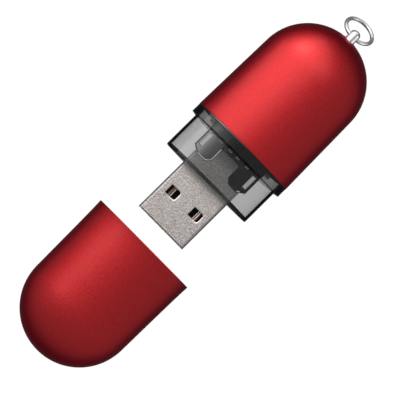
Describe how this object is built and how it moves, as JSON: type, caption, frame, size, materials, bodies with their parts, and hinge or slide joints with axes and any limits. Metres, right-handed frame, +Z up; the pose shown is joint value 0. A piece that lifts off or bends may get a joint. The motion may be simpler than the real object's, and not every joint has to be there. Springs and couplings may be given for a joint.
{
  "type": "usb flash drive",
  "caption": "Pocket flash drive with a pull-off rounded cap, matching rear cover, clear inner chassis, standard A-type plug and a swinging ring on an end lug.",
  "frame": {"origin": "centre of the plug's cross-section, in the plane of the chassis's front face, which is where a fully inserted plug meets its socket", "axes": "-X out along the plug, +X towards the rear cover's round end, +Y across the width, +Z up through the face with the contact windows"},
  "size_m": [0.0918, 0.024, 0.01],
  "materials": {
    "red_cap": "satin red anodised, fine grain",
    "red_cover": "satin red anodised, fine grain",
    "smoke_upper": "clear smoke-grey polycarbonate",
    "smoke_lower": "clear smoke-grey polycarbonate",
    "plug_nickel": "satin nickel plate",
    "black_insulator": "moulded black",
    "gold_contact": "gold plate",
    "solder": "bright solder",
    "board": "dark solder mask on glass laminate",
    "chip_epoxy": "moulded epoxy",
    "tinned_lead": "matt tin",
    "ceramic": "fired ceramic with tinned ends",
    "gold_lid": "satin gold plate",
    "resistor": "glazed, with tinned ends",
    "led_base": "white laminate",
    "led_lens": "clear resin",
    "chrome": "polished",
    "zinc": "zinc plate",
    "chrome_ring": "polished wire"
  },
  "bodies": {
    "drive": {"rear_cover": "red_cover", "chassis_upper": "smoke_upper", "chassis_lower": "smoke_lower", "usb_plug_shell": "plug_nickel", "usb_contact_carrier": "black_insulator", "usb_contacts": "gold_contact", "contact_solder": "solder", "shield_tab_solder": "solder", "circuit_board": "board", "flash_memory_chip": "chip_epoxy", "flash_memory_leads": "tinned_lead", "controller_chip": "chip_epoxy", "controller_leads": "tinned_lead", "clock_crystal": "ceramic", "crystal_lid": "gold_lid", "voltage_regulator": "chip_epoxy", "regulator_leads": "tinned_lead", "ceramic_capacitors": "ceramic", "chip_resistors": "resistor", "ferrite_beads": "resistor", "activity_led": "led_base", "led_lens": "led_lens", "keyring_eyelet": "chrome", "eyelet_washer": "zinc", "eyelet_nut": "zinc"},
    "cap": {"cap_cover": "red_cap"},
    "ring": {"key_ring": "chrome_ring"}
  },
  "joints": [
    {"name": "cap_slide", "type": "slide", "parent": "drive", "child": "cap", "axis": [1, 0, 0], "range_m": [0, 0.02455]},
    {"name": "ring_swing", "type": "hinge", "parent": "drive", "child": "ring", "pos_m": [0.04086, 0, 0.0005], "axis": [0, 1, 0], "range_deg": [-170, 80]}
  ]
}
